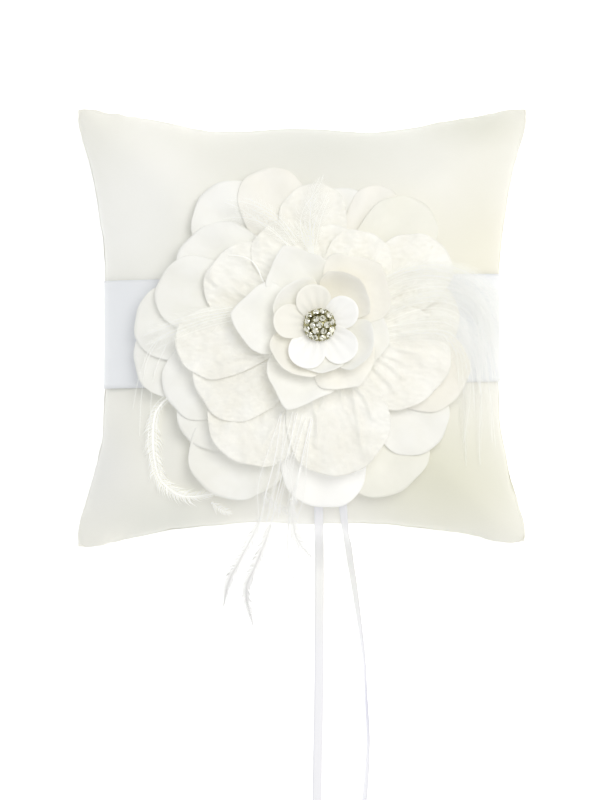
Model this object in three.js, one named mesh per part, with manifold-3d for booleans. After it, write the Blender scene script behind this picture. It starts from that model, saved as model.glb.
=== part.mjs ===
// A ring bearer pillow: a square satin cushion with a ribbon band across its front, and on that a
// layered fabric flower with feather plumes, a rhinestone brooch and two narrow ribbon tails.
// It lies on its back. Z is up, X runs along the band, and the tails lie towards -Y. The origin is the
// middle of the flat patch that the pillow rests on. All sizes are millimetres.
import * as THREE from "three";
import { mergeVertices } from "three/addons/utils/BufferGeometryUtils.js";
import Module from "manifold-3d";

const wasm = await Module();
wasm.setup();

// Pillow
const WIDTH = 200; // from corner to corner along X
const DEPTH = 195; // from corner to corner along Y
const SEAM_Z = 28; // height of the seam that joins the two panels
const CROWN = 36; // rise of the front panel above the seam
const BELLY = 31; // fall of the back panel below the seam, if nothing flattened it
const PULL_X = 0.12; // how far the left and right edges draw in, as a share of half the width
const PULL_Y = 0.1; // the same for the two other edges
const PULL_SHAPE = 0.85; // power that shapes the drawn-in edge
const ROUNDNESS = 0.45; // power that shapes the pillow's rise from the seam
const PANEL = 0.8; // thickness of a panel, satin with its backing
const GAP = 0.3; // clearance between pieces that touch
const FILL_INSET = 4; // the filling stops short of the seam

// Ribbon band and felt base
const BAND_WIDTH = 48;
const BAND_THICK = 0.5;
const BAND_Y = -1.5; // the band's middle line
const BAND_RISE = 0.4; // clearance of the band over the panel
const FELT_RADIUS = 38;
const FELT_RISE = 1.5;
const FELT_THICK = 0.9;

// Flower: petals lie in levels, one above the other, that share one curved base
const FLOWER = { x: 7.7, y: 0.8 };
const FIRST_LEVEL = 2.8; // height of the lowest level over the front panel
const PITCH = 1.3; // from one level to the next
const PETAL = 0.6; // thickness of a petal
const PETAL_CORNERS = 12; // points round a petal's outline

// Each ring of petals lifts by its own amount on top of the rings below it
const LIFTS = [
  { at: 80, by: 5, power: 2 }, // outer petals
  { at: 60, by: 3, power: 2 }, // middle petals
  { at: 38, by: 6, power: 2 }, // inner petals
  { at: 27, by: 7, power: 3 }, // cup petals
];
const OUTER = 0;
const MIDDLE = 1;
const INNER = 2;
const CUP = 3;
const COROLLA_LEVEL = 13;

// Brooch and ribbon tails
const BROOCH_RADIUS = 7.7;
const SHANK_RADIUS = 1.5;
const TAIL_WIDTH = 4;
const TAIL_THICK = 0.6;
const TAIL_STEP = 9; // rough length of one segment of a tail

const MATERIALS = {
  satin: new THREE.MeshStandardMaterial({ color: 0xf6f2e0, roughness: 0.42, metalness: 0 }),
  band: new THREE.MeshStandardMaterial({ color: 0xf5f8ff, roughness: 0.35, metalness: 0 }),
  filling: new THREE.MeshStandardMaterial({ color: 0xffffff, roughness: 0.95, metalness: 0 }),
  felt: new THREE.MeshStandardMaterial({ color: 0xf2efe4, roughness: 0.95, metalness: 0 }),
  petal: new THREE.MeshStandardMaterial({ color: 0xf9f7ee, roughness: 0.55, metalness: 0 }),
  organza: new THREE.MeshStandardMaterial({ color: 0xfaf8ec, roughness: 0.5, metalness: 0 }),
  feather: new THREE.MeshStandardMaterial({ color: 0xfbf9f0, roughness: 0.8, metalness: 0 }),
  ribbon: new THREE.MeshStandardMaterial({ color: 0xfcfcf8, roughness: 0.35, metalness: 0 }),
  metal: new THREE.MeshStandardMaterial({ color: 0xb9b48c, roughness: 0.3, metalness: 1 }),
  glass: new THREE.MeshStandardMaterial({ color: 0xf2f2e6, roughness: 0.05, metalness: 0 }),
};

const pillow = new THREE.Group();

function add(name, geometry, material) {
  const mesh = new THREE.Mesh(geometry, MATERIALS[material]);
  mesh.name = name;
  pillow.add(mesh);
}

function geometryFrom(points, faces) {
  const geometry = new THREE.BufferGeometry();
  geometry.setAttribute("position", new THREE.Float32BufferAttribute(points.flat(), 3));
  geometry.setIndex(faces.flat());
  return geometry;
}

// ---- The pillow's shape -------------------------------------------------------------------------

function drawnIn(pull, along) {
  return 1 - pull * Math.max(0, 1 - along * along) ** PULL_SHAPE;
}

function swell(u, v) {
  return (Math.max(0, 1 - u * u) * Math.max(0, 1 - v * v)) ** ROUNDNESS;
}

// A point of the pillow's skin: u and v run from -1 to 1 between opposite edges.
function skinPoint(u, v, inset, rise) {
  const x = (WIDTH / 2 - inset) * u * drawnIn(PULL_X, v);
  const y = (DEPTH / 2 - inset) * v * drawnIn(PULL_Y, u);
  return [x, y, SEAM_Z + rise * swell(u, v)];
}

// The front panel's height over a point of the plan.
function frontHeight(x, y) {
  let u = x / (WIDTH / 2);
  let v = y / (DEPTH / 2);
  for (let i = 0; i < 8; i++) {
    u = THREE.MathUtils.clamp(x / ((WIDTH / 2) * drawnIn(PULL_X, v)), -1, 1);
    v = THREE.MathUtils.clamp(y / ((DEPTH / 2) * drawnIn(PULL_Y, u)), -1, 1);
  }
  return SEAM_Z + CROWN * swell(u, v);
}

// A closed plate between two grids of points, joined by a wall round their borders.
function plate(columns, rows, upper, lower) {
  const points = [];
  for (const side of [upper, lower]) {
    for (let j = 0; j <= rows; j++) {
      for (let i = 0; i <= columns; i++) points.push(side(i / columns, j / rows));
    }
  }
  const under = (columns + 1) * (rows + 1);
  const at = (i, j) => j * (columns + 1) + i;
  const faces = [];
  for (let j = 0; j < rows; j++) {
    for (let i = 0; i < columns; i++) {
      const [a, b, c, d] = [at(i, j), at(i + 1, j), at(i + 1, j + 1), at(i, j + 1)];
      faces.push([a, b, c], [a, c, d]);
      faces.push([a + under, c + under, b + under], [a + under, d + under, c + under]);
    }
  }
  const border = [];
  for (let i = 0; i < columns; i++) border.push(at(i, 0));
  for (let j = 0; j < rows; j++) border.push(at(columns, j));
  for (let i = columns; i > 0; i--) border.push(at(i, rows));
  for (let j = rows; j > 0; j--) border.push(at(0, j));
  border.forEach((a, k) => {
    const b = border[(k + 1) % border.length];
    faces.push([a, a + under, b + under], [a, b + under, b]);
  });
  return geometryFrom(points, faces);
}

// Grid lines crowd towards the seam, where the skin turns over.
const PANEL_CELLS = 14;
const crowded = (t) => Math.sin((t - 0.5) * Math.PI);

function panelGrid(inset, rise, lift, lowest) {
  return (s, t) => {
    const [x, y, z] = skinPoint(crowded(s), crowded(t), inset, rise);
    return [x, y, Math.max(z + lift, lowest)];
  };
}

function frontPanel() {
  const outer = panelGrid(0, CROWN, GAP / 2, 0);
  const inner = panelGrid(PANEL, CROWN - PANEL, GAP / 2, 0);
  return plate(PANEL_CELLS, PANEL_CELLS, outer, inner);
}

function backPanel() {
  const inner = panelGrid(PANEL, PANEL - BELLY, -GAP / 2, PANEL);
  const outer = panelGrid(0, -BELLY, -GAP / 2, 0);
  return plate(PANEL_CELLS, PANEL_CELLS, inner, outer);
}

function fibreFill() {
  const inset = PANEL + FILL_INSET;
  const rise = CROWN - PANEL - 3 * GAP;
  const fall = BELLY - PANEL - 3 * GAP;
  const front = panelGrid(inset, rise, GAP, 0);
  const back = panelGrid(inset, -fall, -GAP, PANEL + GAP);
  return plate(PANEL_CELLS, PANEL_CELLS, front, back);
}

// The band follows the front panel from side seam to side seam.
const BAND_CELLS = 16;

function bandGrid(rise) {
  return (s, t) => {
    const u = crowded(s);
    const y = BAND_Y + (t - 0.5) * BAND_WIDTH;
    const v = y / ((DEPTH / 2) * drawnIn(PULL_Y, u));
    const [x, , z] = skinPoint(u, v, -rise, CROWN);
    return [x, y, z + rise + GAP / 2];
  };
}

function ribbonBand() {
  return plate(BAND_CELLS, 2, bandGrid(BAND_RISE + BAND_THICK), bandGrid(BAND_RISE));
}

// ---- Petals and other flat pieces ---------------------------------------------------------------

// A closed leaf: rings of points shrink from the outline to its middle, over and under.
function leaf(outline, middle, rings, height, thick) {
  const count = outline.length;
  const points = [];
  for (const drop of [0, thick]) {
    points.push([middle.x, middle.y, height(middle.x, middle.y) - drop]);
    for (const share of rings) {
      for (const p of outline) {
        const x = middle.x + share * (p.x - middle.x);
        const y = middle.y + share * (p.y - middle.y);
        points.push([x, y, height(x, y) - drop]);
      }
    }
  }
  const under = 1 + count * rings.length;
  const faces = [];
  for (let k = 0; k < count; k++) {
    const next = (k + 1) % count;
    faces.push([0, 1 + k, 1 + next], [under, under + 1 + next, under + 1 + k]);
    for (let ring = 0; ring + 1 < rings.length; ring++) {
      const [a, b] = [1 + ring * count + k, 1 + ring * count + next];
      const [c, d] = [b + count, a + count];
      faces.push([a, d, c], [a, c, b]);
      faces.push([a + under, c + under, d + under], [a + under, b + under, c + under]);
    }
    const rim = 1 + (rings.length - 1) * count;
    const [a, b] = [rim + k, rim + next];
    faces.push([a, a + under, b + under], [a, b + under, b]);
  }
  return geometryFrom(points, faces);
}

// The height of a level's upper face, for a petal of one ring.
function levelHeight(level, ring) {
  return (x, y) => {
    const r = Math.hypot(x - FLOWER.x, y - FLOWER.y);
    let z = frontHeight(x, y) + FIRST_LEVEL + level * PITCH + PETAL;
    for (let k = 0; k <= ring; k++) z += LIFTS[k].by * (r / LIFTS[k].at) ** LIFTS[k].power;
    return z;
  };
}

// A petal's outline: a long claw towards the flower's middle and a round or pointed blade.
function petalOutline({ angle, reach, width, start = 9, point = 0 }) {
  const turn = THREE.MathUtils.degToRad(angle);
  const blade = Math.min(width * 0.5, (reach - start) * 0.45);
  const widest = reach - blade;
  const outline = [];
  for (let k = 0; k < PETAL_CORNERS; k++) {
    const phi = (k / PETAL_CORNERS) * 2 * Math.PI;
    const outward = Math.cos(phi) > 0;
    const length = outward ? blade : widest - start;
    const claw = outward ? 1 : 1 - 0.35 * Math.cos(phi) ** 2;
    const along = widest + length * Math.cos(phi) + point * Math.max(0, Math.cos(phi)) ** 8;
    const across = (width / 2) * claw * Math.sin(phi);
    const x = FLOWER.x + along * Math.cos(turn) - across * Math.sin(turn);
    const y = FLOWER.y + along * Math.sin(turn) + across * Math.cos(turn);
    outline.push(new THREE.Vector2(x, y));
  }
  const centre = (start + widest) / 2;
  const middle = { x: FLOWER.x + centre * Math.cos(turn), y: FLOWER.y + centre * Math.sin(turn) };
  return { outline, middle };
}

function petal(shape, ring) {
  const { outline, middle } = petalOutline(shape);
  return leaf(outline, middle, [0.4, 0.72, 1], levelHeight(shape.level, ring), PETAL);
}

// angle is measured from +X, reach is from the brooch's middle to the tip
const OUTER_PETALS = [
  { angle: 130, reach: 78, width: 36, level: 0 },
  { angle: 111, reach: 74, width: 30, level: 1 },
  { angle: 93, reach: 63, width: 30, level: 2 },
  { angle: 78, reach: 62, width: 34, level: 0 },
  { angle: 64, reach: 68, width: 22, level: 1 },
  { angle: 49, reach: 71, width: 32, level: 2 },
  { angle: 30, reach: 65, width: 34, level: 3 },
  { angle: 5, reach: 62, width: 36, level: 0 },
  { angle: -22, reach: 70, width: 38, level: 2 },
  { angle: -45, reach: 74, width: 34, level: 1 },
  { angle: -64, reach: 82, width: 44, level: 0 },
  { angle: -86, reach: 80, width: 30, level: 1 },
  { angle: -123, reach: 88, width: 42, level: 0 },
  { angle: -140, reach: 77, width: 34, level: 1 },
  { angle: -155, reach: 75, width: 34, level: 2 },
  { angle: -168, reach: 84, width: 36, level: 0 },
  { angle: 179, reach: 82, width: 34, level: 1 },
  { angle: 166, reach: 74, width: 34, level: 3 },
  { angle: 149, reach: 70, width: 40, level: 2 },
];

const MIDDLE_PETALS = [
  { angle: 151, reach: 48, width: 34, level: 4 },
  { angle: 115, reach: 50, width: 30, level: 5 },
  { angle: 82, reach: 45, width: 30, level: 4 },
  { angle: 58, reach: 47, width: 30, level: 5 },
  { angle: -22, reach: 60, width: 46, level: 4 },
  { angle: -80, reach: 67, width: 46, level: 5 },
  { angle: -124, reach: 71, width: 42, level: 4 },
  { angle: -149, reach: 62, width: 42, level: 5 },
  { angle: -171, reach: 64, width: 32, level: 6 },
];

const INNER_PETALS = [
  { angle: 115, reach: 36, width: 30, point: 2, level: 8 },
  { angle: 45, reach: 37, width: 36, point: 1, level: 9 },
  { angle: -14, reach: 32, width: 28, level: 8 },
  { angle: -57, reach: 32, width: 30, level: 9 },
  { angle: -111, reach: 36, width: 32, point: 4, level: 8 },
  { angle: 173, reach: 37, width: 32, point: 3, level: 9 },
];

const CUP_PETALS = [
  { angle: 42, reach: 27, width: 24, level: 10 },
  { angle: 134, reach: 23, width: 24, level: 11 },
  { angle: -130, reach: 25, width: 26, level: 10 },
  { angle: -88, reach: 21, width: 24, level: 12 },
  { angle: -30, reach: 26, width: 24, level: 11 },
];

function addPetals(prefix, shapes, ring, start, material) {
  shapes.forEach((shape, k) => {
    const number = String(k + 1).padStart(2, "0");
    add(`${prefix}_petal_${number}`, petal({ start, ...shape }, ring), material);
  });
}

// The corolla is one die-cut piece with five lobes and a hole for the brooch's shank.
const COROLLA_REACH = 19.5;
const COROLLA_LOBES = 5;
const COROLLA_HOLE = 2.2;
const COROLLA_CORNERS = 40;

function corollaGrid(drop) {
  const height = levelHeight(COROLLA_LEVEL, CUP);
  return (turn, share) => {
    const angle = turn * 2 * Math.PI;
    const lobe = Math.abs(Math.cos((COROLLA_LOBES / 2) * (angle - THREE.MathUtils.degToRad(101))));
    const rim = COROLLA_REACH * (0.68 + 0.32 * lobe ** 0.5);
    const r = COROLLA_HOLE + share * (rim - COROLLA_HOLE);
    const x = FLOWER.x + r * Math.cos(angle);
    const y = FLOWER.y + r * Math.sin(angle);
    return [x, y, height(x, y) - drop];
  };
}

// A closed ring-shaped sheet: shares run from the hole to the rim, and the turn closes on itself.
function annulus(corners, rings, upper, lower) {
  const points = [];
  for (const side of [upper, lower]) {
    for (const share of rings) {
      for (let k = 0; k < corners; k++) points.push(side(k / corners, share));
    }
  }
  const under = corners * rings.length;
  const last = rings.length - 1;
  const faces = [];
  for (let k = 0; k < corners; k++) {
    const next = (k + 1) % corners;
    for (let ring = 0; ring < last; ring++) {
      const [a, b] = [ring * corners + k, ring * corners + next];
      const [c, d] = [b + corners, a + corners];
      faces.push([a, d, c], [a, c, b]);
      faces.push([a + under, c + under, d + under], [a + under, b + under, c + under]);
    }
    const [a, b] = [last * corners + k, last * corners + next];
    faces.push([a, a + under, b + under], [a, b + under, b]);
    faces.push([k, next + under, k + under], [k, next, next + under]);
  }
  return geometryFrom(points, faces);
}

function corolla() {
  return annulus(COROLLA_CORNERS, [0, 0.5, 1], corollaGrid(0), corollaGrid(PETAL));
}

function feltGrid(rise) {
  return (turn, share) => {
    const angle = turn * 2 * Math.PI;
    const r = COROLLA_HOLE + share * (FELT_RADIUS - COROLLA_HOLE);
    const x = FLOWER.x + r * Math.cos(angle);
    const y = FLOWER.y + r * Math.sin(angle);
    return [x, y, frontHeight(x, y) + rise];
  };
}

function feltBase() {
  return annulus(24, [0, 0.35, 0.7, 1], feltGrid(FELT_RISE + FELT_THICK), feltGrid(FELT_RISE));
}

// ---- Feather plumes -----------------------------------------------------------------------------

const PLUME_THICK = 0.6;
const PLUME_STEPS = 10;
const PLUME_TIP = 0.25; // a plume's width at its two ends, as a share of its full width
const nothing = () => 0;

// A flat strip that narrows to its ends. Its route is a list of [x, y, rise over a surface].
function plume({ width, route, over }) {
  const curve = new THREE.CatmullRomCurve3(route.map((p) => new THREE.Vector3(...p)));
  const points = [];
  for (let k = 0; k <= PLUME_STEPS; k++) {
    const share = k / PLUME_STEPS;
    const p = curve.getPointAt(share);
    const t = curve.getTangentAt(share);
    const half = (width / 2) * (PLUME_TIP + (1 - PLUME_TIP) * Math.sin(Math.PI * share));
    const side = new THREE.Vector2(-t.y, t.x).setLength(half);
    for (const [way, drop] of [[1, PLUME_THICK], [-1, PLUME_THICK], [-1, 0], [1, 0]]) {
      const x = p.x + way * side.x;
      const y = p.y + way * side.y;
      points.push([x, y, over(x, y) + p.z - drop]);
    }
  }
  const faces = [[0, 1, 2], [0, 2, 3]];
  for (let k = 0; k < PLUME_STEPS; k++) {
    for (let i = 0; i < 4; i++) {
      const [a, b] = [4 * k + i, 4 * k + ((i + 1) % 4)];
      faces.push([a, b + 4, b], [a, a + 4, b + 4]);
    }
  }
  const end = 4 * PLUME_STEPS;
  faces.push([end, end + 2, end + 1], [end, end + 3, end + 2]);
  return geometryFrom(points, faces);
}

// Plumes over the flower: each rise is over the front panel
const FRONT_PLUMES = {
  plume_right_1: { width: 9, route: [
    [36, 6, 14.2], [50, 12, 15.8], [64, 13, 17], [76, 6, 14.5], [80, -18, 12], [82, -44, 6], [84, -68, 3],
  ] },
  plume_right_2: { width: 7, route: [
    [38, -3, 14.2], [52, -1, 16], [64, -2, 17.5], [72, -10, 16], [76, -30, 11], [77, -52, 6],
  ] },
  plume_right_3: { width: 5, route: [
    [34, 18, 14.4], [48, 24, 16.2], [66, 24, 18], [82, 14, 16], [90, -10, 14], [93, -34, 12],
  ] },
  plume_top_1: { width: 6, route: [[9, 36, 15], [8, 48, 16.6], [9, 60, 18], [13, 72, 17]] },
  plume_top_2: { width: 5, route: [[-3, 36, 15], [-12, 46, 17.5], [-24, 52, 19], [-38, 54, 18]] },
  plume_left: { width: 6, route: [
    [-30, 6, 15], [-44, 3, 17.2], [-58, -2, 19], [-70, -8, 18], [-77, -13, 15],
  ] },
  plume_lower_left: { width: 8, route: [
    [-44, -31, 1.5], [-56, -32, 1.6], [-64, -40, 1.8], [-66, -53, 2], [-61, -67, 2.2], [-50, -75, 2.2],
    [-36, -77, 2.2],
  ] },
};

// Plumes that hang over the lower edge: each rise is over the floor
const EDGE_PLUMES = {
  plume_edge_1: { width: 5, route: [
    [-9, -38, 75.6], [-12, -58, 74], [-16, -73, 64], [-19, -86, 50], [-27, -102, 38], [-33, -114, 28],
    [-35, -124, 20],
  ] },
  plume_edge_2: { width: 5, route: [
    [-2, -38, 75.8], [-7, -58, 74], [-11, -74, 62.5], [-14, -88, 48], [-20, -104, 34], [-25, -117, 25],
    [-22, -133, 14],
  ] },
  plume_edge_3: { width: 5, route: [
    [4, -40, 75.4], [0, -58, 74], [-3, -74, 62.5], [-6, -88, 47], [-6, -102, 36], [-3, -114, 28],
  ] },
};

// ---- Brooch -------------------------------------------------------------------------------------

const BROOCH_SEAT = levelHeight(COROLLA_LEVEL, CUP)(FLOWER.x - BROOCH_RADIUS, FLOWER.y) + GAP;
const SHANK_FOOT = frontHeight(FLOWER.x, FLOWER.y) + FELT_RISE;
const DOME_RADIUS = 9;
const DOME_EDGE = 7.2; // where the dome meets the rim, measured from the brooch's axis
const DOME_EDGE_RISE = 2;
const DOME_MIDDLE = BROOCH_SEAT + DOME_EDGE_RISE - Math.sqrt(DOME_RADIUS ** 2 - DOME_EDGE ** 2);

function broochSetting() {
  const profile = [
    [0, SHANK_FOOT],
    [SHANK_RADIUS, SHANK_FOOT],
    [SHANK_RADIUS, BROOCH_SEAT],
    [BROOCH_RADIUS - 1.5, BROOCH_SEAT],
    [BROOCH_RADIUS - 0.4, BROOCH_SEAT + 0.7],
    [BROOCH_RADIUS, BROOCH_SEAT + 1.6],
  ];
  for (const r of [DOME_EDGE, 5, 2.5, 0]) {
    profile.push([r, DOME_MIDDLE + Math.sqrt(DOME_RADIUS ** 2 - r * r)]);
  }
  const lathe = new THREE.LatheGeometry(profile.map((p) => new THREE.Vector2(...p)), 16);
  return lathe.rotateX(Math.PI / 2).translate(FLOWER.x, FLOWER.y, 0);
}

function solidFrom(geometry) {
  const bare = geometry.clone().deleteAttribute("normal").deleteAttribute("uv");
  const merged = mergeVertices(bare);
  const vertProperties = merged.getAttribute("position").array;
  const triVerts = new Uint32Array(merged.index.array);
  return new wasm.Manifold(new wasm.Mesh({ numProp: 3, vertProperties, triVerts }));
}

function geometryOf(solid) {
  const { vertProperties, triVerts } = solid.getMesh();
  const geometry = new THREE.BufferGeometry();
  geometry.setAttribute("position", new THREE.BufferAttribute(vertProperties, 3));
  geometry.setIndex(new THREE.BufferAttribute(triVerts, 1));
  return geometry;
}

// The rhinestones stand round the dome's middle in rings, and each touches its neighbours.
const STONE_RINGS = [
  { tilt: 0, count: 1 },
  { tilt: 19, count: 6 },
  { tilt: 37.5, count: 12 },
];
const STONE_RADIUS = 1.7;
const STONE_TABLE = 0.9; // radius of a stone's flat top
const STONE_HEIGHT = 0.9;

function rhinestones() {
  const axis = new THREE.Vector3(0, 0, 1);
  let cluster = null;
  for (const { tilt, count } of STONE_RINGS) {
    for (let k = 0; k < count; k++) {
      const lean = THREE.MathUtils.degToRad(tilt);
      const out = new THREE.Vector3(Math.sin(lean), 0, Math.cos(lean));
      out.applyAxisAngle(axis, (k / count) * 2 * Math.PI);
      const middle = out.clone().multiplyScalar(DOME_RADIUS + GAP + STONE_HEIGHT / 2);
      const stone = new THREE.CylinderGeometry(STONE_TABLE, STONE_RADIUS, STONE_HEIGHT, 8);
      stone.rotateX(Math.PI / 2);
      stone.applyQuaternion(new THREE.Quaternion().setFromUnitVectors(axis, out));
      stone.translate(FLOWER.x + middle.x, FLOWER.y + middle.y, DOME_MIDDLE + middle.z);
      const solid = solidFrom(stone);
      cluster = cluster ? cluster.add(solid) : solid;
    }
  }
  return geometryOf(cluster);
}

// ---- Ribbon tails -------------------------------------------------------------------------------

// Each tail starts at the stitches under the flower, lies down the front panel, falls over the
// pillow's edge and lies along the floor to its cut end.
const TAILS = {
  tail_left: [
    [6, -32, 62.4], [6.3, -42, 60.7], [6.7, -52, 58.4], [7, -61, 55.6], [7.2, -69, 52.3], [7.3, -76, 48.4],
    [7.4, -82, 43.9], [7.5, -87, 38.6], [7.5, -89.6, 31], [7.5, -91, 22], [7.5, -93.5, 13], [7.5, -98.5, 5],
    [7.5, -106, 1.2], [7.4, -115, 0.6], [7.2, -130, 0.6], [6.9, -150, 0.6], [6.6, -170, 0.6],
    [6.3, -190, 0.6], [6, -212, 0.6], [5.2, -236, 0.6], [3.8, -262, 0.6], [2, -284, 0.6], [0.2, -304.6, 0.6],
  ],
  tail_right: [
    [12, -32, 62], [13.4, -42, 60.5], [14.8, -52, 58.3], [16, -61, 55.5], [17, -69, 52.2], [17.8, -76, 48.4],
    [18.4, -82, 43.9], [18.9, -87, 38.8], [19.2, -89.8, 31], [19.5, -91.4, 22], [19.9, -94, 13],
    [20.6, -99, 5], [21.6, -106.5, 1.2], [22.8, -115, 0.6], [25, -130, 0.6], [27.5, -149, 0.6],
    [29, -168, 0.6], [29.4, -186, 0.6], [28, -210, 0.6], [25, -234, 0.6], [21, -257, 0.6],
    [17.5, -281, 0.6], [14.5, -303, 0.6],
  ],
};
const BEVEL = 0.15;

function ribbonTail(route) {
  const curve = new THREE.CatmullRomCurve3(route.map((p) => new THREE.Vector3(...p)));
  const [w, h] = [TAIL_WIDTH / 2, TAIL_THICK / 2];
  const corners = [
    [w - BEVEL, -h], [w, BEVEL - h], [w, h - BEVEL], [w - BEVEL, h],
    [BEVEL - w, h], [-w, h - BEVEL], [-w, BEVEL - h], [BEVEL - w, -h],
  ];
  const section = new THREE.Shape(corners.map((p) => new THREE.Vector2(...p)));
  const steps = Math.round(curve.getLength() / TAIL_STEP);
  return new THREE.ExtrudeGeometry(section, { steps, extrudePath: curve, bevelEnabled: false });
}

// ---- Assembly -----------------------------------------------------------------------------------

add("front_panel", frontPanel(), "satin");
add("back_panel", backPanel(), "satin");
add("fibre_fill", fibreFill(), "filling");
add("ribbon_band", ribbonBand(), "band");
add("felt_base", feltBase(), "felt");
addPetals("outer", OUTER_PETALS, OUTER, 12, "petal");
addPetals("middle", MIDDLE_PETALS, MIDDLE, 10, "organza");
addPetals("inner", INNER_PETALS, INNER, 8, "petal");
addPetals("cup", CUP_PETALS, CUP, 7, "petal");
add("corolla", corolla(), "petal");
add("brooch_setting", broochSetting(), "metal");
add("brooch_rhinestones", rhinestones(), "glass");
for (const [name, shape] of Object.entries(FRONT_PLUMES)) {
  add(name, plume({ ...shape, over: frontHeight }), "feather");
}
for (const [name, shape] of Object.entries(EDGE_PLUMES)) {
  add(name, plume({ ...shape, over: nothing }), "feather");
}
for (const [name, route] of Object.entries(TAILS)) add(name, ribbonTail(route), "ribbon");

export default pillow;
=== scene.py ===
"""A ring bearer pillow, built round its CAD frame: a satin cushion with a ribbon band, a layered
fabric flower with ostrich flues and a rhinestone brooch, and two narrow ribbon tails.
The pillow lies on its back with Z up. Plan sizes are in millimetres until a mesh is made."""
import math

import bpy
import numpy as np
from mathutils import Matrix, Vector, noise
from mathutils.bvhtree import BVHTree


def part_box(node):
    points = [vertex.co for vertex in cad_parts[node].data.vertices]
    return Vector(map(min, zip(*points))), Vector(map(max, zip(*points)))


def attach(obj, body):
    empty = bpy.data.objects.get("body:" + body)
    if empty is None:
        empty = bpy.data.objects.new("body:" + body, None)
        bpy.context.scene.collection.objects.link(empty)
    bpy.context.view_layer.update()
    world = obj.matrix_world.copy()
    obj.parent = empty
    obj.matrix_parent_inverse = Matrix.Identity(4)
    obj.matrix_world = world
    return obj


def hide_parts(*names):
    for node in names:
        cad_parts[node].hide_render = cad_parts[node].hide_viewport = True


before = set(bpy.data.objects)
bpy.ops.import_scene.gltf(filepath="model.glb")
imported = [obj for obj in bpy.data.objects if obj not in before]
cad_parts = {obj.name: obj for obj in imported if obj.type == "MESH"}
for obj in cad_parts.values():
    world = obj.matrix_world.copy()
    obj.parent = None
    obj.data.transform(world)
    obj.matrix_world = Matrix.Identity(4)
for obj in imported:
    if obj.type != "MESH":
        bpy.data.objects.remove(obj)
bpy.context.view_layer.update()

MM = 0.001
UP = np.array([0, 0, 1])
RNG = np.random.default_rng(8)

# Sizes shared with the CAD
WIDTH, DEPTH = 200, 195
SEAM_Z, CROWN, BELLY = 28, 36, 31
PULL_X, PULL_Y, PULL_SHAPE = 0.12, 0.1, 0.85
ROUNDNESS = 0.45
BAND_WIDTH, BAND_Y, BAND_TILT = 48, -1.5, 1.6
FELT_RADIUS, FELT_RISE, FELT_THICK = 38, 1.5, 0.9
FLOWER = np.array([7.7, 0.8])
FIRST_LEVEL, PITCH, PETAL = 2.8, 1.3, 0.6
LIFTS = [(80, 5, 2), (60, 3, 2), (38, 6, 2), (27, 7, 3)]
OUTER, MIDDLE, INNER, CUP = range(4)
COROLLA_LEVEL = 13
BROOCH_HEIGHT = 5.6  # from the back of the setting to its top

BAND_OVER, BAND_THICK = 0.45, 0.3  # the band's upper face stands this far off the cover
FILL_INSET, FILL_UNDER = 6, 4  # how far the filling keeps from the seam and under the cover
LUMP_SIZE, LUMP_RISE = 11, 1.2
FELT_HOLE = 0.06  # share of the felt's radius
PETAL_SUNK = 0.15  # a petal's upper face lies this far under its level's
RIDGE_RISE, RIDGE_WIDTH = 1.1, 0.9
FOLD_RISE, FOLD_WIDTH = 1.5, 1.1
COVER_CELLS = 110
CLOTH_STEPS = 20
LEAST_LIFT, MOST_LIFT, MOST_SLIDE = -1.0, 3.0, 2.5  # how far the stuffing moves the cover
EASED_FROM = 12  # from this share of the half width, in percent, creases are fully eased
EASE_ROUNDS = 40
FLOWER_REACH, SETTLED_FROM, SETTLED_OVER = 84, 62, 24  # where the flower holds the cover flatter


# ---- Mesh helpers ------------------------------------------------------------------------------

def mesh_object(name, points, faces, material, smooth=True, slot=None):
    """A piece that rides on the root body; points are in millimetres."""
    mesh = bpy.data.meshes.new(name)
    mesh.from_pydata((np.asarray(points) * MM).tolist(), [], [list(map(int, f)) for f in faces])
    mesh.validate()
    piece = bpy.data.objects.new(name, mesh)
    bpy.context.collection.objects.link(piece)
    mesh.materials.append(MATERIALS[material])
    if smooth:
        mesh.shade_smooth()
    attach(piece, "root")
    return piece


def grid_faces(columns, rows, first=0):
    at = first + np.arange((columns + 1) * (rows + 1)).reshape(rows + 1, columns + 1)
    quads = np.stack([at[:-1, :-1], at[:-1, 1:], at[1:, 1:], at[1:, :-1]], axis=-1)
    return quads.reshape(-1, 4)


def border_of(columns, rows):
    at = np.arange((columns + 1) * (rows + 1)).reshape(rows + 1, columns + 1)
    return np.concatenate([at[0, :-1], at[:-1, -1], at[-1, :0:-1], at[:0:-1, 0]])


def plate(upper, lower, columns, rows):
    """Points and faces of a closed plate between two grids of points."""
    points = np.concatenate([upper.reshape(-1, 3), lower.reshape(-1, 3)])
    under = (columns + 1) * (rows + 1)
    top = grid_faces(columns, rows)
    rim = border_of(columns, rows)
    after = np.roll(rim, -1)
    wall = np.stack([rim, rim + under, after + under, after], axis=-1)
    return points, np.concatenate([top, top[:, ::-1] + under, wall])


def fine_noise(points, size, seed=0):
    """Smooth noise from about -1 to 1 at each point, with features of one size in millimetres."""
    shift = Vector((seed * 17.3, seed * 5.1, seed * 9.7))
    return np.array([noise.noise(Vector(p) / size + shift) for p in points])


def between(t, start, end, a, b):
    return (end - t) / (end - start) * a + (t - start) / (end - start) * b


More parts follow.
